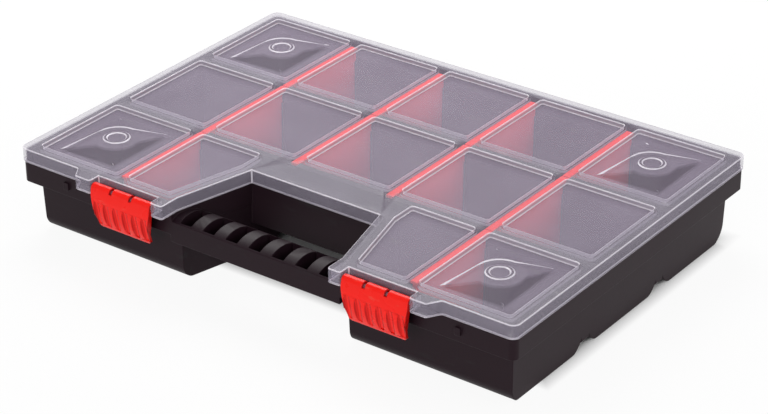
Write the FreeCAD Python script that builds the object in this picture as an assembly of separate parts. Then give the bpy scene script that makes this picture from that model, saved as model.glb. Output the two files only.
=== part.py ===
# Compartment storage box: a black tray in rounded rows with a moulded handle, a see-through lid on a rear
# hinge, two snap latches on the lid's front and removable dividers. Millimetres, X to the right along the
# front, Y to the back, Z up from the floor, with the origin under the middle of the lid.
import FreeCAD, Part
import math
import os

V = FreeCAD.Vector

# Overall size
box_length = 344.0
box_depth = 236.6
box_height = 55.0
corner_radius = 5.0

# Rows and columns
column_pitch = 67.2
row_pitch = 76.6
column_lines = (-1.5, -0.5, 0.5, 1.5)

# General fits
cut_overrun = 1.0
fit_gap = 0.4
seat_gap = 0.2

# Lid shell
lid_wall = 1.5
skirt_height = 8.8
rim_width = 9.0
column_band = 9.0
row_band = 11.5
recess_depth = 2.8
recess_radius = 2.0

# Lid bosses over the corner cells
boss_length = 39.0
boss_depth = 49.0
boss_disc_radius = 14.0
boss_ring_radius = 6.7
boss_bead_radius = 0.9
boss_bead_rise = 0.6

# Hand recess, open to the front
grip_back_width = 90.0
grip_front_width = 114.8
grip_depth = 55.8
grip_straight = 6.3

# Lid ears beside the latches
ear_reach = 7.7
inner_ear_width = 8.9
latch_space = 44.2
outer_ear_width = 11.0
ear_blend_length = 5.0
ear_radius = 2.0

# Tray shell
tray_wall = 1.8
floor_thickness = 1.8
apron_inset = 0.7
apron_height = 12.6
rim_rise = 6.8
rim_wall = 1.8
end_inset = 6.0
front_inset = 8.0
back_inset = 7.5
grip_inset = 0.3
grip_wall_drop = 34.6
wall_draft = 1.5
scoop_radius = 12.0
front_edge_radius = 8.5
end_edge_radius = 1.5

# Ridges between the rows, and the gaps under them
ridge_width = 5.0
ridge_rise = 6.4
row_gap = 4.0
web_bottom = 5.0
web_inset = 0.0

# Carrying handle
handle_depth = 21.0
handle_crown_drop = 10.4
handle_edge_drop = 13.2
handle_bottom_drop = 26.0
handle_wall = 2.4
handle_lip = 1.2
handle_slot_count = 7
handle_slot_pitch = 16.2
handle_slot_width = 8.0

# Dividers and the ribs that hold them
divider_thickness = 2.0
divider_cap_width = 5.0
divider_cap_height = 1.8
divider_slack = 0.3
divider_end_gap = 0.6
guide_rib_width = 1.5
guide_rib_reach = 2.2

# Rear hinge
hinge_stations = (-1.5, 0.0, 1.5)
hinge_rod_radius = 1.5
hinge_rod_length = 18.0
hinge_lug_radius = 2.6
hinge_lug_width = 3.0
clip_width = 12.0
clip_bore_radius = 1.8
clip_wall = 1.4
clip_mouth = 2.2
clip_arm_height = 5.0

# Latches
latch_rod_radius = 1.4
latch_rod_drop = 5.0
latch_rod_reach = 4.6
latch_bore_radius = 1.7
latch_barrel_wall = 1.3
latch_side_gap = 0.3
latch_length = 27.0
latch_taper = 3.2
latch_plate = 2.4
latch_bulge = 0.6
latch_tuck = 3.2
latch_cheek = 1.8
latch_cheek_reach = 3.4
latch_corner_radius = 2.0
latch_notch_width = 1.8
latch_notch_share = 0.33
flute_count = 6
flute_pitch = 7.0
flute_radius = 2.6
flute_sink = 0.45
flute_top_share = 0.36
flute_end_share = 0.92

# Catches on the tray's front
catch_reach = 3.7
catch_width = 30.0
hook_grip = 1.4
hook_height = 4.0
nub_offset = 48.0
nub_width = 4.0
nub_height = 5.0
nub_reach = 1.5
nub_radius = 1.0
nub_drop = 3.5

# Planes and levels worked out from the sizes above
right = box_length / 2
back = box_depth / 2
front = -back
skirt_bottom = box_height - skirt_height
shelf_top = skirt_bottom - seat_gap
shelf_bottom = shelf_top - tray_wall
apron_bottom = shelf_top - apron_height
rim_inset = lid_wall + fit_gap
rim_top = shelf_top + rim_rise
ridge_top = shelf_top + ridge_rise
cap_bottom = ridge_top - divider_cap_height
panel_top = box_height - recess_depth
panel_bottom = panel_top - lid_wall
grip_back = front + grip_depth
grip_bend = front + grip_straight
handle_crown = box_height - handle_crown_drop
handle_edge = box_height - handle_edge_drop
handle_bottom = box_height - handle_bottom_drop
row_line = row_pitch / 2
apron_front = front + apron_inset
apron_back = back - apron_inset
draft_slope = math.tan(math.radians(wall_draft))
slant = V(grip_front_width / 2 - grip_back_width / 2, grip_bend - grip_back, 0)
slant.normalize()
slant_normal = V(-slant.y, slant.x, 0)
far = box_length + box_depth


def rounded_edges(corners, place):
    # Lines and arcs through corners given as (u, v, radius); place turns (u, v) into a point in space.
    turns = []
    count = len(corners)
    for index, (u, v, radius) in enumerate(corners):
        here = V(u, v, 0)
        before = V(corners[index - 1][0], corners[index - 1][1], 0)
        after = V(corners[(index + 1) % count][0], corners[(index + 1) % count][1], 0)
        to_before = (before - here).normalize()
        to_after = (after - here).normalize()
        half = to_before.getAngle(to_after) / 2
        reach = radius / math.tan(half)
        bisector = (to_before + to_after).normalize()
        middle = here + bisector * (radius / math.sin(half) - radius)
        turns.append((radius, here + to_before * reach, middle, here + to_after * reach))
    edges = []
    for index, (radius, start, middle, end) in enumerate(turns):
        previous_end = turns[index - 1][3]
        edges.append(Part.makeLine(place(previous_end), place(start)))
        if radius > 0:
            edges.append(Part.Arc(place(start), place(middle), place(end)).toShape())
    return edges


def plan_wire(corners, z):
    return Part.Wire(rounded_edges(corners, lambda p: V(p.x, p.y, z)))


def plan_block(corners, low, high):
    return Part.Face(plan_wire(corners, low)).extrude(V(0, 0, high - low))


def inset_corners(corners, inset):
    # The same outline moved inwards by inset; corners run anticlockwise, and a negative inset moves out.
    moved = []
    count = len(corners)
    for index, (u, v, radius) in enumerate(corners):
        before = corners[index - 1]
        after = corners[(index + 1) % count]
        arrive = V(u - before[0], v - before[1], 0).normalize()
        leave = V(after[0] - u, after[1] - v, 0).normalize()
        arrive_normal = V(-arrive.y, arrive.x, 0)
        leave_normal = V(-leave.y, leave.x, 0)
        shift = (arrive_normal + leave_normal) * (inset / (1 + arrive_normal.dot(leave_normal)))
        outward = arrive.cross(leave).z > 0
        new_radius = 0 if radius == 0 else max(radius - inset if outward else radius + inset, 0)
        moved.append((u + shift.x, v + shift.y, new_radius))
    return moved


def side_block(corners, x_low, x_high):
    # Corners are (y, z, radius), carried along X.
    wire = Part.Wire(rounded_edges(corners, lambda p: V(x_low, p.x, p.y)))
    return Part.Face(wire).extrude(V(x_high - x_low, 0, 0))


def front_block(corners, y_low, y_high):
    # Corners are (x, z, radius), carried along Y.
    wire = Part.Wire(rounded_edges(corners, lambda p: V(p.x, y_low, p.y)))
    return Part.Face(wire).extrude(V(0, y_high - y_low, 0))


def block(x_range, y_range, z_range):
    size = [high - low for low, high in (x_range, y_range, z_range)]
    return Part.makeBox(*size, V(x_range[0], y_range[0], z_range[0]))


def rod_along_x(x_low, x_high, y, z, radius):
    return Part.makeCylinder(radius, x_high - x_low, V(x_low, y, z), V(1, 0, 0))


def mirrored(shape):
    return shape.mirror(V(0, 0, 0), V(1, 0, 0))


def mirrored_corners(corners):
    return [(-x, y, radius) for x, y, radius in reversed(corners)]


def both_sides(half):
    # A closed plan outline from its right half, given from the front's middle round to the back.
    return half + mirrored_corners(half)


def tidy(shape):
    return shape.removeSplitter()


# Outlines seen from above
def grip_half():
    return [
        (grip_back_width / 2, grip_back, 0),
        (grip_front_width / 2, grip_bend, 0),
    ]


def rear_half():
    return [
        (right, front, corner_radius),
        (right, back, corner_radius),
    ]


def rim_outline():
    return both_sides(grip_half() + [(grip_front_width / 2, front, 0)] + rear_half())


def latch_edges():
    inner = grip_front_width / 2 + inner_ear_width
    return inner, inner + latch_space


def lid_outline():
    inner, outer = latch_edges()
    ear_front = front - ear_reach
    ear_end = outer + outer_ear_width
    ears = [
        (grip_front_width / 2, ear_front, ear_radius),
        (inner, ear_front, ear_radius),
        (inner, front, 0),
        (outer, front, 0),
        (outer, ear_front, ear_radius),
        (ear_end, ear_front, ear_radius),
        (ear_end + ear_blend_length, front, ear_radius),
    ]
    return both_sides(grip_half() + ears + rear_half())


def slant_x(y):
    # Half-width of the hand recess's slanted sides at a given depth.
    return grip_back_width / 2 + (grip_back - y) * slant.x / -slant.y


# Lid
def recess_columns():
    lines = [line * column_pitch for line in column_lines]
    lows = [-right + rim_width] + [line + column_band / 2 for line in lines]
    highs = [line - column_band / 2 for line in lines] + [right - rim_width]
    return list(zip(lows, highs))


def recess_rows():
    half_band = row_band / 2
    return {
        "front": (front + rim_width, -row_line - half_band),
        "middle": (-row_line + half_band, row_line - half_band),
        "back": (row_line + half_band, back - rim_width),
    }


def rectangle(x_range, y_range, radius):
    (x_low, x_high), (y_low, y_high) = x_range, y_range
    points = [(x_low, y_low), (x_high, y_low), (x_high, y_high), (x_low, y_high)]
    return [(x, y, radius) for x, y in points]


def slanted_recess(x_high, y_range):
    # The front panel beside the hand recess keeps one rim width away from the recess's slanted side.
    y_low, y_high = y_range
    bend = V(grip_back_width / 2, grip_back, 0) + slant_normal * rim_width
    foot_x = bend.x + (bend.y - y_low) * slant.x / -slant.y
    return [
        (bend.x, y_high, recess_radius),
        (bend.x, bend.y, recess_radius),
        (foot_x, y_low, recess_radius),
        (x_high, y_low, recess_radius),
        (x_high, y_high, recess_radius),
    ]


def recess_outlines():
    columns = recess_columns()
    rows = recess_rows()
    outlines = []
    for row in ("middle", "back"):
        for x_range in columns:
            outlines.append(rectangle(x_range, rows[row], recess_radius))
    outer = rectangle(columns[-1], rows["front"], recess_radius)
    inner = slanted_recess(columns[-2][1], rows["front"])
    for outline in (outer, inner):
        outlines.append(outline)
        outlines.append(mirrored_corners(outline))
    return outlines


def boss(x, y, base, top):
    # A flat disc on a rectangular foot, joined by four flat triangles and four cone pieces.
    half_x = boss_length / 2
    half_y = boss_depth / 2
    feet = [V(x + sx * half_x, y + sy * half_y, base) for sx, sy in ((1, 1), (-1, 1), (-1, -1), (1, -1))]
    centre = V(x, y, top)
    quarters = [centre + V(cx, cy, 0) * boss_disc_radius for cx, cy in ((1, 0), (0, 1), (-1, 0), (0, -1))]
    faces = [Part.Face(Part.makePolygon(feet + [feet[0]]))]
    rim_edges = []
    for index, foot in enumerate(feet):
        start = quarters[index]
        end = quarters[(index + 1) % len(quarters)]
        middle = centre + (start + end - centre * 2).normalize() * boss_disc_radius
        arc = Part.Arc(start, middle, end).toShape()
        rim_edges.append(arc)
        faces.append(Part.makeLoft([Part.Vertex(foot), Part.Wire(arc)], False, True).Faces[0])
        next_foot = feet[(index + 1) % len(feet)]
        faces.append(Part.Face(Part.makePolygon([foot, next_foot, end, foot])))
    faces.append(Part.Face(Part.Wire(rim_edges)))
    shell = Part.makeShell(faces)
    shell.sewShape()
    solid = Part.makeSolid(shell)
    if solid.Volume < 0:
        solid.reverse()
    return solid


def boss_places():
    x_range = recess_columns()[-1]
    rows = recess_rows()
    x = sum(x_range) / 2
    places = []
    for row in ("front", "back"):
        y = sum(rows[row]) / 2
        places.append((x, y))
        places.append((-x, y))
    return places


def hinge_axis():
    y = apron_back + clip_bore_radius + clip_wall + fit_gap
    z = shelf_top - hinge_lug_radius
    return y, z


def lid_clip(x):
    # An open ring that snaps over the tray's hinge rod, on an arm down from the skirt.
    y, z = hinge_axis()
    outer = clip_bore_radius + clip_wall
    x_low = x - clip_width / 2
    x_high = x + clip_width / 2
    ring = rod_along_x(x_low, x_high, y, z, outer)
    arm = block((x_low, x_high), (y - outer, y - outer + lid_wall), (z, skirt_bottom + clip_arm_height))
    clip = ring.fuse(arm)
    clip = clip.cut(rod_along_x(x_low, x_high, y, z, clip_bore_radius))
    mouth = block((x_low, x_high), (y - clip_mouth / 2, y + clip_mouth / 2), (z - outer - cut_overrun, z))
    return clip.cut(mouth)


def latch_axis():
    return front - latch_rod_reach, box_height - latch_rod_drop


def make_lid():
    outline = lid_outline()
    shell = plan_block(outline, skirt_bottom, box_height)
    hollow = plan_block(inset_corners(outline, lid_wall), skirt_bottom, box_height - lid_wall)
    shell = shell.cut(hollow)
    recesses = recess_outlines()
    pans = [plan_block(inset_corners(recess, -lid_wall), panel_bottom, box_height) for recess in recesses]
    sinks = [plan_block(recess, panel_top, box_height + cut_overrun) for recess in recesses]
    shell = shell.multiFuse(pans)
    shell = shell.cut(Part.makeCompound(sinks))
    for x, y in boss_places():
        shell = shell.fuse(boss(x, y, panel_top, box_height))
        shell = shell.cut(boss(x, y, panel_bottom, box_height - lid_wall))
        bead_z = box_height + boss_bead_rise - boss_bead_radius
        shell = shell.fuse(Part.makeTorus(boss_ring_radius, boss_bead_radius, V(x, y, bead_z)))
    rod_y, rod_z = latch_axis()
    inner, outer = latch_edges()
    rod = rod_along_x(inner - lid_wall, outer + lid_wall, rod_y, rod_z, latch_rod_radius)
    additions = [rod, mirrored(rod)]
    additions += [lid_clip(station * column_pitch) for station in hinge_stations]
    return tidy(shell.multiFuse(additions))


# Tray
def tub_section(low, high, low_radius, high_radius, base, top):
    # Section of a row: upright above the shelf, drafted below it, rounded where it meets the floor.
    lean = (shelf_top - base) * draft_slope
    top_lean = max(shelf_top - top, 0) * draft_slope
    section = [
        (low + top_lean, top, 0),
        (low + lean, base, low_radius),
        (high - lean, base, high_radius),
        (high - top_lean, top, 0),
    ]
    if top > shelf_top:
        section.insert(1, (low, shelf_top, 0))
        section.insert(-1, (high, shelf_top, 0))
    return section


def row_ranges():
    # Outer faces of the rows at shelf height.
    gap_near = row_line - row_gap / 2
    gap_away = gap_near + row_gap
    return {
        "front": (apron_front + front_inset, -gap_away),
        "middle": (-gap_near, gap_near),
        "back": (gap_away, apron_back - back_inset),
    }


def row_radii(row):
    low_radius = front_edge_radius if row == "front" else scoop_radius
    return low_radius, scoop_radius


def row_block(row, inset, base, top, x_low, x_high):
    low, high = row_ranges()[row]
    low_radius, high_radius = row_radii(row)
    section = tub_section(low + inset, high - inset, low_radius - inset, high_radius - inset, base, top)
    return side_block(section, x_low, x_high)


def end_face():
    return right - apron_inset - end_inset


def ends_block(inset, base, top):
    end = end_face() - inset
    radius = max(end_edge_radius - inset, 0)
    section = tub_section(-end, end, radius, radius, base, top)
    return front_block(section, front, back)


def slant_block(inset, base, top):
    # Everything to the right of the hand recess's slanted wall.
    section = tub_section(inset, far, max(end_edge_radius - inset, 0), 0, base, top)
    wall = V(grip_back_width / 2, grip_back, 0) + slant_normal * (apron_inset + grip_inset)
    start = wall - slant * far
    edges = rounded_edges(section, lambda p: start + slant_normal * p.x + V(0, 0, p.y))
    return Part.Face(Part.Wire(edges)).extrude(slant * far * 2)


def row_tub(row, inset, base, top):
    tub = row_block(row, inset, base, top, -right, right).common(ends_block(inset, base, top))
    if row == "front":
        tub = tub.common(slant_block(inset, base, top))
    return tub


def grip_wall():
    # The plain wall behind the hand recess, deeper than the apron and open behind.
    low = grip_back + apron_inset
    reach = slant_x(low) + apron_inset + grip_inset + tray_wall
    return block((-reach, reach), (low, low + tray_wall), (box_height - grip_wall_drop, shelf_top))


def tray_tubs(inset, base, top):
    front_tub = row_tub("front", inset, base, top)
    tubs = [row_tub("back", inset, base, top), row_tub("middle", inset, base, top)]
    return tubs + [front_tub, mirrored(front_tub)]


def rim_band(inset, wall, low, high):
    outer = plan_block(inset_corners(rim_outline(), inset), low, high)
    inner = plan_block(inset_corners(rim_outline(), inset + wall), low, high)
    return outer.cut(inner)


def ridge(y):
    # A crest on the shelf between two rows, under the lid's band.
    half = ridge_width / 2
    end = right - rim_inset - rim_wall / 2
    return block((-end, end), (y - half, y + half), (shelf_bottom, ridge_top))


def end_webs():
    # Walls that close the gaps under the ridges at both ends, set back a little from the end walls.
    webs = ends_block(web_inset, web_bottom, shelf_top)
    webs = webs.cut(ends_block(web_inset + tray_wall, web_bottom, shelf_top))
    rows = row_ranges()
    gaps = []
    for low_row, high_row in (("front", "middle"), ("middle", "back")):
        y_range = (rows[low_row][1] - tray_wall, rows[high_row][0] + tray_wall)
        gaps.append(webs.common(block((-right, right), y_range, (web_bottom, shelf_top))))
    return gaps


def divider_places():
    places = []
    for row in ("back", "middle"):
        for number, line in enumerate(column_lines, start=1):
            places.append((f"divider_{row}_{number}", row, line * column_pitch))
    places.append(("divider_front_left", "front", column_lines[0] * column_pitch))
    places.append(("divider_front_right", "front", column_lines[-1] * column_pitch))
    return places


def guide_ribs(row, x):
    # Two ribs round the inside of a row, one on each side of a divider.
    ribs = []
    for side in (-1, 1):
        near = x + side * (divider_thickness / 2 + divider_slack)
        away = near + side * guide_rib_width
        low, high = sorted((near, away))
        full = row_block(row, tray_wall / 2, floor_thickness / 2, shelf_bottom, low, high)
        base = floor_thickness + guide_rib_reach
        clear = row_block(row, tray_wall + guide_rib_reach, base, ridge_top, low, high)
        ribs.append(full.cut(clear))
    return ribs


def handle():
    # A bar with a domed top across the recess, with blind slots between its ribs.
    low = apron_front
    high = low + handle_depth
    reach = grip_front_width / 2 + tray_wall
    corners = [(high, handle_edge), (high, handle_bottom), (low, handle_bottom), (low, handle_edge)]
    points = [V(-reach, y, z) for y, z in corners]
    crown = V(-reach, (low + high) / 2, handle_crown)
    dome = Part.Arc(points[-1], crown, points[0]).toShape()
    sides = Part.makePolygon(points).Edges
    bar = Part.Face(Part.Wire(sides + [dome])).extrude(V(reach * 2, 0, 0))
    slots = []
    for number in range(handle_slot_count):
        x = (number - (handle_slot_count - 1) / 2) * handle_slot_pitch
        x_range = (x - handle_slot_width / 2, x + handle_slot_width / 2)
        y_range = (low + handle_lip, high - handle_lip)
        slots.append(block(x_range, y_range, (handle_bottom + handle_wall, handle_crown)))
    return bar, slots


def latch_centre():
    inner, outer = latch_edges()
    return (inner + outer) / 2


def catch():
    # The pad on the tray's front, behind a latch, that it hooks under.
    x = latch_centre()
    y_range = (apron_front - catch_reach, apron_front + tray_wall)
    return block((x - catch_width / 2, x + catch_width / 2), y_range, (apron_bottom, shelf_top))


def nub():
    # A small peg on the tray's front, under the lid's skirt.
    x = latch_centre() + nub_offset
    top = skirt_bottom - nub_drop
    corners = rectangle((x - nub_width / 2, x + nub_width / 2), (top - nub_height, top), nub_radius)
    return front_block(corners, apron_front - nub_reach, apron_front + tray_wall)


def hinge_lugs(x):
    y, z = hinge_axis()
    pieces = []
    half = hinge_rod_length / 2
    pieces.append(rod_along_x(x - half, x + half, y, z, hinge_rod_radius))
    for side in (-1, 1):
        low, high = sorted((x + side * half, x + side * (half - hinge_lug_width)))
        pieces.append(rod_along_x(low, high, y, z, hinge_lug_radius))
        web_y = (apron_back - tray_wall, y)
        pieces.append(block((low, high), web_y, (z - hinge_lug_radius, z + hinge_lug_radius)))
    return pieces


def make_tray():
    shelf = plan_block(inset_corners(rim_outline(), apron_inset), shelf_bottom, shelf_top)
    apron = rim_band(apron_inset, tray_wall, apron_bottom, shelf_top)
    rim = rim_band(rim_inset, rim_wall, shelf_bottom, rim_top)
    ridges = [ridge(-row_line), ridge(row_line)]
    bar, slots = handle()
    body = shelf.multiFuse([apron, rim, bar, grip_wall()] + end_webs() + tray_tubs(0, 0, shelf_top))
    body = body.cut(Part.makeCompound(tray_tubs(tray_wall, floor_thickness, box_height)))
    body = body.cut(Part.makeCompound(slots))
    body = body.multiFuse(ridges)
    additions = [catch(), mirrored(catch()), nub(), mirrored(nub())]
    notches = []
    notch_half = divider_cap_width / 2 + seat_gap
    for name, row, x in divider_places():
        additions += guide_ribs(row, x)
        for y in (-row_line, row_line):
            x_range = (x - notch_half, x + notch_half)
            y_range = (y - ridge_width / 2 - cut_overrun, y + ridge_width / 2 + cut_overrun)
            notches.append(block(x_range, y_range, (cap_bottom, ridge_top + cut_overrun)))
    for station in hinge_stations:
        additions += hinge_lugs(station * column_pitch)
    body = body.multiFuse(additions)
    return tidy(body.cut(Part.makeCompound(notches)))


# Dividers
def make_divider(row, x):
    half = divider_thickness / 2
    inset = tray_wall + fit_gap
    plate = row_block(row, inset, floor_thickness + fit_gap, cap_bottom, x - half, x + half)
    low, high = row_ranges()[row]
    over_ridge = divider_end_gap / 2
    low_end = low + inset if row == "front" else {"middle": -row_line, "back": row_line}[row] + over_ridge
    high_end = high - inset if row == "back" else {"middle": row_line, "front": -row_line}[row] - over_ridge
    cap_half = divider_cap_width / 2
    cap = block((x - cap_half, x + cap_half), (low_end, high_end), (cap_bottom, ridge_top))
    return tidy(plate.fuse(cap))


# Latches
def latch_faces():
    # Front and back curves of the latch's plate, from the barrel down to the tip.
    y, z = latch_axis()
    barrel = latch_bore_radius + latch_barrel_wall
    top_z = z
    tip_z = z + barrel - latch_length
    middle_z = (top_z + tip_z) / 2
    front_top = V(0, y - barrel, top_z)
    front_middle = V(0, y - barrel - latch_bulge, middle_z)
    front_tip = V(0, y - barrel + latch_tuck, tip_z)
    return front_top, front_middle, front_tip


def latch_plate_block(inset, thickness, x_low, x_high):
    # A curved plate of the given thickness, set back from the latch's front face.
    top, middle, tip = [point + V(x_low, inset, 0) for point in latch_faces()]
    set_back = V(0, thickness, 0)
    outer = Part.Arc(top, middle, tip).toShape()
    inner = Part.Arc(tip + set_back, middle + set_back, top + set_back).toShape()
    edges = [outer, Part.makeLine(tip, tip + set_back), inner, Part.makeLine(top + set_back, top)]
    return Part.Face(Part.Wire(edges)).extrude(V(x_high - x_low, 0, 0))


def flute(x):
    # A straight round cutter along a chord of the curved face, deepest halfway down.
    face = Part.Arc(*latch_faces()).toShape().Curve
    y, z = latch_axis()
    barrel_top = z + latch_bore_radius + latch_barrel_wall
    ends = []
    for share in (flute_top_share, flute_end_share):
        level = barrel_top - latch_length * share
        drop = level - face.Center.z
        ends.append(V(x, face.Center.y - math.sqrt(face.Radius ** 2 - drop ** 2), level))
    along = ends[1] - ends[0]
    length = along.Length
    along.normalize()
    outward = V(0, along.z, -along.y)
    start = ends[0] + outward * (flute_radius - flute_sink)
    return Part.makeCylinder(flute_radius, length, start, along)


def make_latch():
    x = latch_centre()
    half = latch_space / 2 - latch_side_gap
    x_low = x - half
    x_high = x + half
    y, z = latch_axis()
    barrel = latch_bore_radius + latch_barrel_wall
    tip_z = z + barrel - latch_length
    plate = latch_plate_block(0, latch_plate, x_low, x_high)
    hook_top = apron_bottom - seat_gap
    hook_tip = apron_front - catch_reach + hook_grip
    plate_back = y - barrel + latch_plate
    hook_corners = [
        (plate_back - latch_plate / 2, hook_top, 0),
        (hook_tip, hook_top, 0),
        (hook_tip, hook_top - hook_height / 2, 0),
        (y - barrel + latch_tuck + latch_plate / 2, tip_z, 0),
    ]
    hook = side_block(hook_corners, x - catch_width / 2, x + catch_width / 2)
    half_tip = half - latch_taper
    barrel_low = z - barrel
    outline = [
        (x - half, z + barrel, 0),
        (x - half, barrel_low, 0),
        (x - half_tip, tip_z, latch_corner_radius),
        (x + half_tip, tip_z, latch_corner_radius),
        (x + half, barrel_low, 0),
        (x + half, z + barrel, 0),
    ]
    cheek_back = y - barrel - latch_bulge + latch_cheek_reach
    cheeks = latch_plate_block(0, latch_cheek_reach, x_low, x_high)
    cheeks = cheeks.common(block((x_low, x_high), (y - far, cheek_back), (tip_z, z)))
    cheeks = cheeks.cut(front_block(inset_corners(outline, latch_cheek), y - far, y + far))
    body = plate.multiFuse([hook, cheeks, rod_along_x(x_low, x_high, y, z, barrel)])
    body = body.cut(rod_along_x(x_low, x_high, y, z, latch_bore_radius))
    body = body.common(front_block(outline, y - far, y + far))
    for side in (-1, 1):
        notch_x = x + side * half * latch_notch_share
        x_range = (notch_x - latch_notch_width / 2, notch_x + latch_notch_width / 2)
        y_range = (y - barrel - cut_overrun, y + barrel + cut_overrun)
        body = body.cut(block(x_range, y_range, (z, z + barrel + cut_overrun)))
    for number in range(flute_count):
        body = body.cut(flute(x + (number - (flute_count - 1) / 2) * flute_pitch))
    return tidy(body)


def save(name, shape):
    solids = shape.Solids
    print(name, "solids", len(solids), "valid", shape.isValid(), "volume", round(shape.Volume, 1))
    result = solids[0] if len(solids) == 1 else shape
    result.exportStep(os.path.join("parts", name + ".step"))


os.makedirs("parts", exist_ok=True)
save("base_tray", make_tray())
save("lid", make_lid())
right_latch = make_latch()
save("latch_right", right_latch)
save("latch_left", mirrored(right_latch))
for divider_name, divider_row, divider_x in divider_places():
    save(divider_name, make_divider(divider_row, divider_x))
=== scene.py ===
import math
import bmesh
import bpy
from mathutils import Matrix, Vector


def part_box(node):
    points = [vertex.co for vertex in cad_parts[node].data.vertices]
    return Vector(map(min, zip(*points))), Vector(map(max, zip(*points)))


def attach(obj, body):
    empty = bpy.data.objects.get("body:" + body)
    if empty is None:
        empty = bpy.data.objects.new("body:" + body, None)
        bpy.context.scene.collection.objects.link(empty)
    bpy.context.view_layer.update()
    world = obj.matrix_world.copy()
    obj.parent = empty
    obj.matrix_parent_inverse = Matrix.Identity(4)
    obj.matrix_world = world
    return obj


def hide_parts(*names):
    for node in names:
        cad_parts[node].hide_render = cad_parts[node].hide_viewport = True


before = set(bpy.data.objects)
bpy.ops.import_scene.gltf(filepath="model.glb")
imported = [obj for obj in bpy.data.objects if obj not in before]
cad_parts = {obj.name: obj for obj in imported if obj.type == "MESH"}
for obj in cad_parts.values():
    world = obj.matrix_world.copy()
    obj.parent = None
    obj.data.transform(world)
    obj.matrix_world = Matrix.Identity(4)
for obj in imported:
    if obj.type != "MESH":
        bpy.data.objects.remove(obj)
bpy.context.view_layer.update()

print("frame loaded", len(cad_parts), "nodes")

# lines along X that the dividers stand on
columns = []
for number in (1, 2, 3, 4):
    nodeLow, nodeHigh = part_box(f"divider_back_{number}")
    columns.append((nodeLow[0] + nodeHigh[0]) / 2)
columnPitch = columns[1] - columns[0]


# small helpers
def linkObject(name, data):
    piece = bpy.data.objects.new(name, data)
    bpy.context.scene.collection.objects.link(piece)
    return piece


def plainMesh(piece, name):
    # evaluates the modifiers into a mesh of its own and drops the working object
    evaluated = piece.evaluated_get(bpy.context.evaluated_depsgraph_get())
    mesh = bpy.data.meshes.new_from_object(evaluated)
    mesh.name = name
    bpy.data.objects.remove(piece)
    return linkObject(name, mesh)


def calc(tree, operation, first, second=0.0):
    # one sum in a node tree, where each value is a socket or a number
    step = tree.nodes.new("ShaderNodeMath")
    step.operation = operation
    for socket, value in zip(step.inputs, (first, second)):
        if isinstance(value, bpy.types.NodeSocket):
            tree.links.new(value, socket)
        else:
            socket.default_value = value
    return step.outputs[0]


def spread(tree, value, low, high, newLow=0.0, newHigh=1.0):
    # moves a value from one range to another and holds it there
    step = tree.nodes.new("ShaderNodeMapRange")
    for label, number in zip(("From Min", "From Max", "To Min", "To Max"), (low, high, newLow, newHigh)):
        step.inputs[label].default_value = number
    tree.links.new(value, step.inputs["Value"])
    return step.outputs[0]


def blend(tree, factor, first, second):
    # mixes two colours, where the first is a socket or a colour
    step = tree.nodes.new("ShaderNodeMix")
    step.data_type = "RGBA"
    if isinstance(first, bpy.types.NodeSocket):
        tree.links.new(first, step.inputs["A"])
    else:
        step.inputs["A"].default_value = first
    step.inputs["B"].default_value = second
    tree.links.new(factor, step.inputs["Factor"])
    return step.outputs["Result"]


def split(tree, vector):
    # the three parts of a vector
    step = tree.nodes.new("ShaderNodeSeparateXYZ")
    tree.links.new(vector, step.inputs[0])
    return step.outputs


# camera at the photograph's viewing angle, frame 768 x 414
cameraSet = {
    "place": (0.77101, -1.03267, 0.71336),
    "azimuth": 36.69,
    "elevation": 28.35,
    "roll": -0.427,
    "lens": 118.33,
    "sensor": 36.0,
    "farClip": 50.0,
}


def makeCamera(c):
    data = bpy.data.cameras.new("photoCamera")
    data.lens = c["lens"]
    data.sensor_width = c["sensor"]
    data.sensor_fit = "HORIZONTAL"
    data.clip_end = c["farClip"]
    camera = linkObject("photoCamera", data)
    turn = Matrix.Rotation(math.radians(c["azimuth"]), 4, "Z")
    tip = Matrix.Rotation(math.radians(90 - c["elevation"]), 4, "X")
    lean = Matrix.Rotation(math.radians(c["roll"]), 4, "Z")
    camera.matrix_world = Matrix.Translation(c["place"]) @ turn @ tip @ lean
    bpy.context.scene.camera = camera


makeCamera(cameraSet)
print("camera set")

# soft studio light round a white table
studioSet = {
    "white": (1, 1, 1, 1),
    "worldStrength": 0.4,
    "overhead": (0.56, 0.74, 1.0, 0.35),
    "lamps": [
        {"name": "topSoftbox", "place": (-0.5, 0.5, 0.85), "aim": (-0.1, 0.1, 0.03), "size": 0.8,
         "power": 8.2},
        {"name": "rightSoftbox", "place": (1.7, 0.4, 0.8), "aim": (0, 0, 0.03), "size": 1.2, "power": 9.0},
        {"name": "frontFill", "place": (0.3, -1.8, 0.8), "aim": (0, 0, 0.03), "size": 1.0, "power": 12.0},
    ],
    "floorSize": 8.0,
    "floorColour": (0.9, 0.9, 0.9, 1),
    "floorRough": 0.9,
    "floorGlow": 0.92,
    "shadeMiddle": (0, 0.018),
    "shadeHalf": (0.160, 0.092),
    "shadeSoft": 0.012,
}


def seenRays(tree):
    # 1 for camera, glossy and transmission rays, so that reflections see the white table too
    path = tree.nodes.new("ShaderNodeLightPath").outputs
    direct = calc(tree, "MAXIMUM", path["Is Camera Ray"], path["Is Glossy Ray"])
    return calc(tree, "MAXIMUM", direct, path["Is Transmission Ray"])


def underBox(tree, s):
    # 0 on the table under the box's rows, where no light reaches, and 1 outside
    axes = split(tree, tree.nodes.new("ShaderNodeTexCoord").outputs["Object"])
    past = []
    for axis, middle, half in zip("XY", s["shadeMiddle"], s["shadeHalf"]):
        away = calc(tree, "ABSOLUTE", calc(tree, "SUBTRACT", axes[axis], middle))
        past.append(spread(tree, away, half, half + s["shadeSoft"]))
    return calc(tree, "MAXIMUM", *past)


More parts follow.
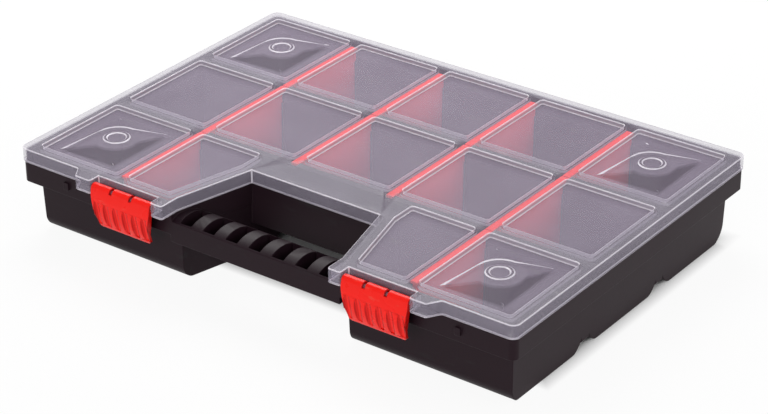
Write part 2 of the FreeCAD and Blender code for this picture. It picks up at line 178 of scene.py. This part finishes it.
def makeWorld(s):
    world = bpy.data.worlds.new("studioWorld")
    bpy.context.scene.world = world
    world.use_nodes = True
    tree = world.node_tree
    light = tree.nodes["Background"]
    light.inputs["Color"].default_value = s["white"]
    light.inputs["Strength"].default_value = s["worldStrength"]
    # what is seen or mirrored is white near the level and darker overhead
    seen = tree.nodes.new("ShaderNodeBackground")
    seen.inputs["Color"].default_value = s["white"]
    way = split(tree, tree.nodes.new("ShaderNodeTexCoord").outputs["Generated"])
    tree.links.new(spread(tree, way["Z"], *s["overhead"]), seen.inputs["Strength"])
    mix = tree.nodes.new("ShaderNodeMixShader")
    tree.links.new(seenRays(tree), mix.inputs[0])
    tree.links.new(light.outputs[0], mix.inputs[1])
    tree.links.new(seen.outputs[0], mix.inputs[2])
    tree.links.new(mix.outputs[0], tree.nodes["World Output"].inputs["Surface"])


def makeLamps(s):
    for lamp in s["lamps"]:
        data = bpy.data.lights.new(lamp["name"], "AREA")
        data.shape = "DISK"
        data.size = lamp["size"]
        data.energy = lamp["power"]
        holder = linkObject(lamp["name"], data)
        holder.location = lamp["place"]
        aim = Vector(lamp["aim"]) - Vector(lamp["place"])
        holder.rotation_euler = aim.to_track_quat("-Z", "Y").to_euler()


def makeFloor(s):
    table = bpy.data.materials.new("whiteTable")
    table.use_nodes = True
    tree = table.node_tree
    shader = tree.nodes["Principled BSDF"]
    shader.inputs["Base Color"].default_value = s["floorColour"]
    shader.inputs["Roughness"].default_value = s["floorRough"]
    glow = tree.nodes.new("ShaderNodeEmission")
    share = calc(tree, "MULTIPLY", seenRays(tree), s["floorGlow"])
    mix = tree.nodes.new("ShaderNodeMixShader")
    tree.links.new(calc(tree, "MULTIPLY", share, underBox(tree, s)), mix.inputs[0])
    tree.links.new(shader.outputs[0], mix.inputs[1])
    tree.links.new(glow.outputs[0], mix.inputs[2])
    tree.links.new(mix.outputs[0], tree.nodes["Material Output"].inputs["Surface"])
    half = s["floorSize"] / 2
    corners = [(-half, -half, 0), (half, -half, 0), (half, half, 0), (-half, half, 0)]
    mesh = bpy.data.meshes.new("floor")
    mesh.from_pydata(corners, [], [range(len(corners))])
    mesh.materials.append(table)
    linkObject("floor", mesh)


def makeStudio(s):
    makeWorld(s)
    makeLamps(s)
    makeFloor(s)
    bpy.context.scene.view_settings.view_transform = "Standard"


makeStudio(studioSet)
print("studio set")

# shared surface effects
surfaceSet = {
    "grainScale": 1500.0,
    "grainDetail": 3,
    "grainRough": 0.6,
    "mottleScale": 18.0,
    "mottleDetail": 5,
    "rubScale": 60.0,
    "rubThreshold": 0.62,
    "rubFull": 0.8,
    "rubDetail": 4,
    "rubTurn": (0.2, 0.15, 0.6),
    "rubStretch": (1.0, 6.0, 3.0),
}


def newGroup(name, inputs, outputs):
    group = bpy.data.node_groups.new(name, "ShaderNodeTree")
    for label, kind, value in inputs:
        socket = group.interface.new_socket(label, in_out="INPUT", socket_type=kind)
        if value is not None:
            socket.default_value = value
    for label, kind in outputs:
        group.interface.new_socket(label, in_out="OUTPUT", socket_type=kind)
    return group, group.nodes.new("NodeGroupInput"), group.nodes.new("NodeGroupOutput")


def makeMouldGrain(s):
    # fine spark-eroded grain as a height, and a slow mottle from uneven filling
    group, given, out = newGroup(
        "mouldGrain",
        [("Vector", "NodeSocketVector", None), ("Grain Scale", "NodeSocketFloat", s["grainScale"]),
         ("Mottle Scale", "NodeSocketFloat", s["mottleScale"])],
        [("Height", "NodeSocketFloat"), ("Mottle", "NodeSocketFloat")])
    grain = group.nodes.new("ShaderNodeTexNoise")
    grain.inputs["Detail"].default_value = s["grainDetail"]
    grain.inputs["Roughness"].default_value = s["grainRough"]
    mottle = group.nodes.new("ShaderNodeTexNoise")
    mottle.inputs["Detail"].default_value = s["mottleDetail"]
    for noise, scale in ((grain, "Grain Scale"), (mottle, "Mottle Scale")):
        group.links.new(given.outputs["Vector"], noise.inputs["Vector"])
        group.links.new(given.outputs[scale], noise.inputs["Scale"])
    group.links.new(grain.outputs[0], out.inputs["Height"])
    group.links.new(mottle.outputs[0], out.inputs["Mottle"])
    return group


def makeRubMarks(s):
    # thin stretched scuffs that handling leaves, as a mask
    group, given, out = newGroup(
        "rubMarks",
        [("Vector", "NodeSocketVector", None), ("Scale", "NodeSocketFloat", s["rubScale"]),
         ("Threshold", "NodeSocketFloat", s["rubThreshold"])],
        [("Mask", "NodeSocketFloat")])
    stretch = group.nodes.new("ShaderNodeMapping")
    stretch.inputs["Rotation"].default_value = s["rubTurn"]
    stretch.inputs["Scale"].default_value = s["rubStretch"]
    noise = group.nodes.new("ShaderNodeTexNoise")
    noise.inputs["Detail"].default_value = s["rubDetail"]
    cut = group.nodes.new("ShaderNodeMapRange")
    cut.inputs["From Max"].default_value = s["rubFull"]
    group.links.new(given.outputs["Vector"], stretch.inputs["Vector"])
    group.links.new(stretch.outputs[0], noise.inputs["Vector"])
    group.links.new(given.outputs["Scale"], noise.inputs["Scale"])
    group.links.new(noise.outputs[0], cut.inputs["Value"])
    group.links.new(given.outputs["Threshold"], cut.inputs["From Min"])
    group.links.new(cut.outputs[0], out.inputs["Mask"])
    return group


mouldGrain = makeMouldGrain(surfaceSet)
rubMarks = makeRubMarks(surfaceSet)


def clearStrips(tree, place, alpha, s):
    # lets more through over the dividers' tops, which stand on evenly spaced lines along X
    axes = split(tree, place)
    half = s["pitch"] / 2
    away = calc(tree, "PINGPONG", calc(tree, "SUBTRACT", axes["X"], half), half)
    inner = calc(tree, "LESS_THAN", calc(tree, "ABSOLUTE", axes["X"]), s["reachX"])
    inner = calc(tree, "MULTIPLY", inner, calc(tree, "GREATER_THAN", axes["Y"], s["reachY"][0]))
    inner = calc(tree, "MULTIPLY", inner, calc(tree, "LESS_THAN", axes["Y"], s["reachY"][1]))
    strip = spread(tree, away, s["half"], s["half"] + s["soft"], s["thins"], 0)
    kept = calc(tree, "SUBTRACT", 1, calc(tree, "MULTIPLY", inner, strip))
    return calc(tree, "MULTIPLY", kept, alpha)


def mouldedPlastic(p):
    # one moulded plastic; colour and gloss drift with the mottle, scuffs dull it a little
    material = bpy.data.materials.new(p["name"])
    material.use_nodes = True
    tree = material.node_tree
    shader = tree.nodes["Principled BSDF"]
    place = tree.nodes.new("ShaderNodeTexCoord")
    grain = tree.nodes.new("ShaderNodeGroup")
    grain.node_tree = mouldGrain
    grain.inputs["Grain Scale"].default_value = p["grainScale"]
    grain.inputs["Mottle Scale"].default_value = p["mottleScale"]
    rub = tree.nodes.new("ShaderNodeGroup")
    rub.node_tree = rubMarks
    rub.inputs["Scale"].default_value = p["rubScale"]
    rub.inputs["Threshold"].default_value = p["rubThreshold"]
    for group in (grain, rub):
        tree.links.new(place.outputs["Object"], group.inputs["Vector"])
    mottle, scuff = grain.outputs["Mottle"], rub.outputs["Mask"]
    colour = blend(tree, scuff, blend(tree, mottle, p["colour"], p["colourDrift"]), p["scuffColour"])
    if "flankPaintedShade" in p:
        # painted shade: surfaces that turn to the left or right are darkened, as if in their neighbours'
        # shade
        turned = calc(tree, "ABSOLUTE", split(tree, place.outputs["Normal"])["X"])
        colour = blend(tree, spread(tree, turned, *p["flankShadeTurn"]), colour, p["flankPaintedShade"])
    tree.links.new(colour, shader.inputs["Base Color"])
    gloss = spread(tree, mottle, 0, 1, p["roughLow"], p["roughHigh"])
    dulled = calc(tree, "ADD", calc(tree, "MULTIPLY", scuff, p["scuffDulls"]), gloss)
    tree.links.new(dulled, shader.inputs["Roughness"])
    bump = tree.nodes.new("ShaderNodeBump")
    bump.inputs["Strength"].default_value = p["bumpStrength"]
    bump.inputs["Distance"].default_value = p["bumpDepth"]
    tree.links.new(grain.outputs["Height"], bump.inputs["Height"])
    tree.links.new(bump.outputs[0], shader.inputs["Normal"])
    shader.inputs["IOR"].default_value = p["ior"]
    shader.inputs["Specular IOR Level"].default_value = p["specular"]
    if "alphaLow" in p:
        alpha = spread(tree, mottle, 0, 1, p["alphaLow"], p["alphaHigh"])
        if "strips" in p:
            alpha = clearStrips(tree, place.outputs["Object"], alpha, p["strips"])
        tree.links.new(alpha, shader.inputs["Alpha"])
    return material


# edges softened as a mould leaves them
meshSet = {"weld": 0.000002, "flatAngle": 0.4, "straight": 0.001}


def joinFlats(build, angle, straight):
    # joins the triangles of each flat region whose outline only turns one way
    limit = math.radians(angle)
    waiting = dict.fromkeys(build.faces)
    regions = []
    while waiting:
        first = next(iter(waiting))
        del waiting[first]
        region = [first]
        for face in region:
            for edge in face.edges:
                for other in edge.link_faces:
                    if other in waiting and other.normal.angle(first.normal, math.pi) < limit:
                        del waiting[other]
                        region.append(other)
        regions.append(region)
    seams = []
    kept = []
    for region in regions:
        inside = set(region)
        edges = dict.fromkeys(edge for face in region for edge in face.edges)
        rim = [edge for edge in edges if sum(1 for face in edge.link_faces if face in inside) == 1]
        inner = [edge for edge in edges if edge not in set(rim)]
        uses = {}
        for edge in rim:
            for vert in edge.verts:
                uses.setdefault(vert, []).append(edge)
        if len(region) < 2 or any(len(pair) != 2 for pair in uses.values()):
            kept.append((region, inner))
            continue
        outline = [rim[0].verts[0]]
        edge = rim[0]
        while len(outline) == 1 or edge is not rim[0]:
            outline.append(edge.other_vert(outline[-1]))
            edge = [other for other in uses[outline[-1]] if other is not edge][0]
        outline.pop()
        sides = [(outline[i].co - outline[i - 1].co).normalized() for i in range(len(outline))]
        turns = [sides[i - 1].cross(sides[i]).dot(region[0].normal) for i in range(len(sides))]
        if len(outline) == len(rim) and (min(turns) > -straight or max(turns) < straight):
            seams += inner
        else:
            kept.append((region, inner))
    for region, inner in kept:
        if len(inner) > 1:
            bmesh.ops.beautify_fill(build, faces=region, edges=inner)
    bmesh.ops.dissolve_edges(build, edges=seams)


def softenedCopy(nodeName, pieceName, materials, s, faceKind=None, extraEdge=None):
    build = bmesh.new()
    build.from_mesh(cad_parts[nodeName].data)
    bmesh.ops.remove_doubles(build, verts=build.verts, dist=s["weld"])
    build.normal_update()
    joinFlats(build, s["flatAngle"], s["straight"])
    loose = sum(1 for edge in build.edges if not edge.is_manifold)
    weight = build.edges.layers.float.new("bevel_weight_edge")
    sharp = math.radians(s["sharpAngle"])
    widest = s.get("widestEdge", s["softEdge"])
    for edge in build.edges:
        if extraEdge and extraEdge(edge):
            edge[weight] = 1
        elif edge.calc_face_angle(0) > sharp:
            edge[weight] = s["softEdge"] / widest
    mesh = bpy.data.meshes.new(pieceName + "Work")
    build.to_mesh(mesh)
    build.free()
    mesh.materials.clear()
    for material in materials:
        mesh.materials.append(material)
    for face in mesh.polygons:
        face.material_index = faceKind(face.center, face.normal) if faceKind else 0
    mesh.polygons.foreach_set("use_smooth", [True] * len(mesh.polygons))
    mesh.set_sharp_from_angle(angle=sharp)
    work = linkObject(pieceName + "Work", mesh)
    bevel = work.modifiers.new("softEdge", "BEVEL")
    bevel.width = widest
    bevel.segments = s["segments"]
    bevel.limit_method = "WEIGHT"
    bevel.use_clamp_overlap = False
    bevel.loop_slide = False
    # the bevelled edges take the last material, which on the lid is the rims' painted highlight
    bevel.material = len(materials) - 1
    even = work.modifiers.new("evenShade", "WEIGHTED_NORMAL")
    even.keep_sharp = False
    piece = plainMesh(work, pieceName)
    low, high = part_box(nodeName)
    for vert in piece.data.vertices:  # a corner that the bevel pushed out goes back inside the CAD box
        vert.co = [min(max(c, least), most) for c, least, most in zip(vert.co, low, high)]
    print(pieceName, "open edges", loose, "faces", len(piece.data.polygons))
    return piece


traySet = {
    "plastic": {
        "name": "blackTrayPlastic",
        "colour": (0.0135, 0.0052, 0.0090, 1), "colourDrift": (0.0185, 0.0088, 0.0130, 1),
        "scuffColour": (0.022, 0.018, 0.020, 1), "scuffDulls": 0.12, "roughLow": 0.36, "roughHigh": 0.52,
        "grainScale": 1600.0, "mottleScale": 16.0, "rubScale": 45.0, "rubThreshold": 0.6,
        "bumpStrength": 0.25, "bumpDepth": 0.00012, "ior": 1.5, "specular": 0.115,
    },
    "edges": {"softEdge": 0.00035, "segments": 2, "sharpAngle": 32.0, **meshSet},
}


def makeTray(t):
    plastic = mouldedPlastic(t["plastic"])
    tray = softenedCopy("base_tray", "trayShell", [plastic], t["edges"])
    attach(tray, "base")
    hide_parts("base_tray")


makeTray(traySet)
print("tray made")

# lid: clear panes, a clearer material as painted shade on the bosses' front-right sides, denser bands, the
# sides of the sunk panes and rims with a painted highlight
frosted = {
    "scuffColour": (0.95, 0.92, 0.97, 1), "scuffDulls": 0.08, "roughLow": 0.34, "roughHigh": 0.46,
    "grainScale": 320.0, "rubScale": 55.0, "rubThreshold": 0.62,
    "bumpStrength": 0.02, "bumpDepth": 0.0001, "ior": 1.49, "specular": 0.5,
}
pane = {
    **frosted, "colour": (0.80, 0.68, 0.90, 1), "colourDrift": (0.88, 0.76, 0.97, 1),
    "scuffColour": (0.95, 0.90, 0.97, 1), "roughLow": 0.38, "roughHigh": 0.5,
    "mottleScale": 22.0, "rubThreshold": 0.64, "bumpStrength": 0.012,
}
lidSet = {
    "panes": {**pane, "name": "frostedLid", "alphaLow": 0.145, "alphaHigh": 0.195},
    "clearPaintedShade": {**pane, "name": "frostedLidFacet", "alphaLow": 0.08, "alphaHigh": 0.11},
    "bands": {
        **frosted, "name": "frostedLidBand",
        "colour": (0.44, 0.40, 0.50, 1), "colourDrift": (0.52, 0.47, 0.58, 1), "mottleScale": 30.0,
        "alphaLow": 0.24, "alphaHigh": 0.31,
        "strips": {"pitch": columnPitch, "half": 0.0022, "soft": 0.001, "thins": 0.6, "reachX": 0.12,
                   "reachY": (-0.0386, 0.108)},
    },
    "walls": {
        **frosted, "name": "frostedLidWall",
        "colour": (0.84, 0.77, 0.90, 1), "colourDrift": (0.91, 0.85, 0.96, 1), "mottleScale": 40.0,
        "alphaLow": 0.28, "alphaHigh": 0.40,
    },
    "highlightRims": {
        **frosted, "name": "frostedLidEdge",
        "colour": (0.88, 0.82, 0.92, 1), "colourDrift": (0.95, 0.90, 0.98, 1),
        "scuffColour": (1, 1, 1, 1), "scuffDulls": 0.05, "roughLow": 0.15, "roughHigh": 0.25,
        "mottleScale": 60.0, "rubScale": 80.0, "rubThreshold": 0.6, "specular": 0.6,
        "alphaLow": 0.6, "alphaHigh": 0.8,
    },
    "edges": {"softEdge": 0.00055, "widestEdge": 0.0009, "segments": 2, "sharpAngle": 32.0, **meshSet},
    "order": ["panes", "clearPaintedShade", "bands", "walls", "highlightRims"],
    "levelFrom": 0.5,
    "paintedShadeLean": 0.1,
    "panelTop": 0.0533,
    "bosses": [(x, y) for x in (-0.13415, 0.13415) for y in (-0.07667, 0.07667)],
    "bossHalf": (0.0199, 0.0249),
    "bossLow": 0.0512,
    "bossCorner": 0.0008,
    "discRadius": 0.014,
    "discTurn": 6.0,
    "near": 0.0003,
    "columnHalf": 0.004,
    "skirtEdge": 0.0475,
    "underside": -0.1,
    "sunkLow": 0.0509,
    "sunkHalf": (0.166, 0.113),
}


def bossOffset(d, point):
    # place on the boss that the point belongs to, measured from its middle
    for x, y in d["bosses"]:
        away = Vector((point.x - x, point.y - y))
        if abs(away.x) < d["bossHalf"][0] and abs(away.y) < d["bossHalf"][1]:
            return away
    return None


def bossHighlightEdge(d, edge):
    # painted highlight: the light line over a boss, from its left corner round the back of the disc to its
    # right corner, which gets the bright rim material
    places = [bossOffset(d, vert.co) for vert in edge.verts]
    if None in places or min(vert.co.z for vert in edge.verts) < d["bossLow"]:
        return False
    onDisc = [abs(place.length - d["discRadius"]) < d["near"] for place in places]
    middle = (places[0] + places[1]) / 2
    if all(onDisc):
        return edge.calc_face_angle(0) > math.radians(d["discTurn"]) and middle.x < 0 < middle.y
    if not any(onDisc):
        return False
    top, foot = places if onDisc[0] else places[::-1]
    atFoot = all(abs(abs(away) - half) < d["bossCorner"] for away, half in zip(foot, d["bossHalf"]))
    toLeft = abs(top.y) < d["near"] and top.x < 0 and foot.x < 0 and foot.y < 0
    toRight = abs(top.x) < d["near"] and top.y > 0 and foot.x > 0 and foot.y > 0
    return atFoot and (toLeft or toRight)


def lidFace(d, centre, normal):
    # material of a face, as its number in d["order"]
    number = d["order"].index
    level = abs(normal.z) > d["levelFrom"]
    if bossOffset(d, centre) is not None:
        # painted shade: a boss side that faces the front right, or the inside of one, gets the clearer
        # material and so looks darker
        lean = (normal.x - normal.y) / math.sqrt(2) * math.copysign(1, normal.z)
        return number("clearPaintedShade" if level and lean > d["paintedShadeLean"] else "panes")
    if level and centre.z < d["panelTop"]:
        return number("panes")
    # level faces over the dividers take the same clearer material
    if level and any(abs(centre.x - x) < d["columnHalf"] for x in columns):
        return number("clearPaintedShade")
    halfX, halfY = d["sunkHalf"]
    sunk = not level and centre.z > d["sunkLow"] and abs(centre.x) < halfX and abs(centre.y) < halfY
    return number("walls" if sunk else "bands")


def makeLid(d):
    materials = [mouldedPlastic(d[part]) for part in d["order"]]
    lid = softenedCopy("lid", "lidShell", materials, d["edges"],
                       lambda centre, normal: lidFace(d, centre, normal), lambda edge: bossHighlightEdge(d, edge))
    rim, band = d["order"].index("highlightRims"), d["order"].index("bands")
    # painted highlight: rim faces that face down above the skirt's edge go back to the band material
    for face in lid.data.polygons:  # only the edges that catch light stay bright
        if face.material_index == rim and face.normal.z < d["underside"] and face.center.z > d["skirtEdge"]:
            face.material_index = band
    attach(lid, "lid")
    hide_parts("lid")


makeLid(lidSet)
print("lid made")

latchSet = {
    "plastic": {
        "name": "redLatchPlastic", "colour": (0.98, 0.009, 0.004, 1), "colourDrift": (1.0, 0.014, 0.007, 1),
        "scuffColour": (0.9, 0.08, 0.05, 1), "scuffDulls": 0.1, "roughLow": 0.22, "roughHigh": 0.34,
        "grainScale": 1400.0, "mottleScale": 40.0, "rubScale": 120.0, "rubThreshold": 0.62,
        "bumpStrength": 0.08, "bumpDepth": 0.0001, "ior": 1.5, "specular": 0.18,
        "flankPaintedShade": (0.58, 0.005, 0.003, 1), "flankShadeTurn": (0.1, 0.5),
    },
    "edges": {"softEdge": 0.0004, "segments": 3, "sharpAngle": 42.0, **meshSet},
}


def makeLatches(d):
    plastic = mouldedPlastic(d["plastic"])
    for side in ("left", "right"):
        latch = softenedCopy("latch_" + side, side + "Latch", [plastic], d["edges"])
        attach(latch, "latch_" + side)
        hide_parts("latch_" + side)


makeLatches(latchSet)
print("latches made")

# dividers: a T-shaped blank for each row, repeated along the box
dividerSet = {
    "plastic": {
        "name": "redDividerPlastic", "colour": (0.94, 0.035, 0.026, 1), "colourDrift": (1.0, 0.048, 0.036, 1),
        "scuffColour": (0.9, 0.12, 0.09, 1), "scuffDulls": 0.1, "roughLow": 0.3, "roughHigh": 0.45,
        "grainScale": 1400.0, "mottleScale": 25.0, "rubScale": 70.0, "rubThreshold": 0.62,
        "bumpStrength": 0.15, "bumpDepth": 0.0001, "ior": 1.5, "specular": 0.08,
    },
    "pitch": columnPitch,
    "plate": 0.002,
    "capWidth": 0.005,
    "capBottom": 0.0506,
    "capTop": 0.0524,
    "shelf": 0.046,
    "floor": 0.0022,
    "slope": math.tan(math.radians(1.5)),
    "softEdge": 0.0003,
    "edgeSegments": 2,
    "edgeAngle": 35.0,
    "arcSteps": 10,
    "rows": [
        {"row": "back", "nodes": (1, 2, 3, 4), "count": 4, "stride": 1, "span": (0.0425, 0.1079),
         "radii": (0.0098, 0.0098), "cap": (0.0386, 0.1079)},
        {"row": "middle", "nodes": (1, 2, 3, 4), "count": 4, "stride": 1, "span": (-0.0341, 0.0341),
         "radii": (0.0098, 0.0098), "cap": (-0.0380, 0.0380)},
        {"row": "front", "nodes": ("left", "right"), "count": 2, "stride": 3, "span": (-0.1074, -0.0425),
         "radii": (0.0063, 0.0098), "cap": (-0.1074, -0.0386)},
    ],
}


def roundedCorner(before, here, after, radius, steps):
    toBefore = (before - here).normalized()
    toAfter = (after - here).normalized()
    half = toBefore.angle(toAfter) / 2
    middle = here + (toBefore + toAfter).normalized() * (radius / math.sin(half))
    start = here + toBefore * (radius / math.tan(half)) - middle
    end = here + toAfter * (radius / math.tan(half)) - middle
    whole = start.angle_signed(end)
    turned = []
    for step in range(steps + 1):
        angle = -whole * step / steps
        turned.append(middle + Matrix.Rotation(angle, 2) @ start)
    return turned


def dividerBlank(d, r):
    low, high = r["span"]
    lean = (d["shelf"] - d["floor"]) * d["slope"]
    corners = [Vector(c) for c in (
        (low, d["capBottom"]), (low, d["shelf"]), (low + lean, d["floor"]),
        (high - lean, d["floor"]), (high, d["shelf"]), (high, d["capBottom"]))]
    outline = [corners[0], corners[1]]
    outline += roundedCorner(corners[1], corners[2], corners[3], r["radii"][0], d["arcSteps"])
    outline += roundedCorner(corners[2], corners[3], corners[4], r["radii"][1], d["arcSteps"])
    outline += [corners[4], corners[5]]
    build = bmesh.new()
    half = d["plate"] / 2
    face = build.faces.new([build.verts.new((-half, p.x, p.y)) for p in outline])
    grown = bmesh.ops.extrude_face_region(build, geom=[face])
    moved = [part for part in grown["geom"] if isinstance(part, bmesh.types.BMVert)]
    bmesh.ops.translate(build, verts=moved, vec=(d["plate"], 0, 0))
    capLow, capHigh = r["cap"]
    size = Vector((d["capWidth"], capHigh - capLow, d["capTop"] - d["capBottom"]))
    centre = Vector((0, (capLow + capHigh) / 2, (d["capTop"] + d["capBottom"]) / 2))
    bmesh.ops.create_cube(build, size=1, matrix=Matrix.Translation(centre) @ Matrix.Diagonal(size.to_4d()))
    bmesh.ops.recalc_face_normals(build, faces=build.faces)
    mesh = bpy.data.meshes.new("dividerBlank")
    build.to_mesh(mesh)
    build.free()
    mesh.polygons.foreach_set("use_smooth", [True] * len(mesh.polygons))
    blank = linkObject("dividerBlank", mesh)
    bevel = blank.modifiers.new("softEdge", "BEVEL")
    bevel.width = d["softEdge"]
    bevel.segments = d["edgeSegments"]
    bevel.limit_method = "ANGLE"
    bevel.angle_limit = math.radians(d["edgeAngle"])
    blank.modifiers.new("evenShade", "WEIGHTED_NORMAL")
    return plainMesh(blank, "dividerBlank")


def makeRowTree():
    # repeats a blank on a line along X, centred on the box
    tree = bpy.data.node_groups.new("dividerRow", "GeometryNodeTree")
    tree.is_modifier = True
    tree.interface.new_socket("Geometry", in_out="OUTPUT", socket_type="NodeSocketGeometry")
    for label, kind in (("Blank", "Object"), ("Count", "Int"), ("Pitch", "Float"), ("Plastic", "Material")):
        tree.interface.new_socket(label, in_out="INPUT", socket_type="NodeSocket" + kind)
    given = tree.nodes.new("NodeGroupInput")
    out = tree.nodes.new("NodeGroupOutput")
    blank = tree.nodes.new("GeometryNodeObjectInfo")
    line = tree.nodes.new("GeometryNodeMeshLine")
    step = tree.nodes.new("ShaderNodeCombineXYZ")
    first = tree.nodes.new("ShaderNodeCombineXYZ")
    back = calc(tree, "SUBTRACT", 1, given.outputs["Count"])
    start = calc(tree, "MULTIPLY", calc(tree, "DIVIDE", back, 2), given.outputs["Pitch"])
    places = tree.nodes.new("GeometryNodeInstanceOnPoints")
    real = tree.nodes.new("GeometryNodeRealizeInstances")
    finish = tree.nodes.new("GeometryNodeSetMaterial")
    join = tree.links.new
    join(given.outputs["Blank"], blank.inputs["Object"])
    join(given.outputs["Count"], line.inputs["Count"])
    join(given.outputs["Pitch"], step.inputs["X"])
    join(step.outputs[0], line.inputs["Offset"])
    join(start, first.inputs["X"])
    join(first.outputs[0], line.inputs["Start Location"])
    join(line.outputs["Mesh"], places.inputs["Points"])
    join(blank.outputs["Geometry"], places.inputs["Instance"])
    join(places.outputs[0], real.inputs[0])
    join(real.outputs[0], finish.inputs["Geometry"])
    join(given.outputs["Plastic"], finish.inputs["Material"])
    join(finish.outputs[0], out.inputs[0])
    return tree


def setInput(modifier, label, value):
    for item in modifier.node_group.interface.items_tree:
        if item.item_type == "SOCKET" and item.in_out == "INPUT" and item.name == label:
            modifier[item.identifier] = value


def makeDividers(d):
    plastic = mouldedPlastic(d["plastic"])
    tree = makeRowTree()
    for number, row in enumerate(d["rows"]):
        blank = dividerBlank(d, row)
        host = linkObject("rowHost", bpy.data.meshes.new("rowHost"))
        repeat = host.modifiers.new("dividerRow", "NODES")
        repeat.node_group = tree
        setInput(repeat, "Blank", blank)
        setInput(repeat, "Count", row["count"])
        setInput(repeat, "Pitch", d["pitch"] * row["stride"])
        setInput(repeat, "Plastic", plastic)
        piece = plainMesh(host, f"dividers_{row['row']}_{number}")
        bpy.data.objects.remove(blank)
        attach(piece, "base")
        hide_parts(*[f"divider_{row['row']}_{name}" for name in row["nodes"]])


makeDividers(dividerSet)
print("dividers made")
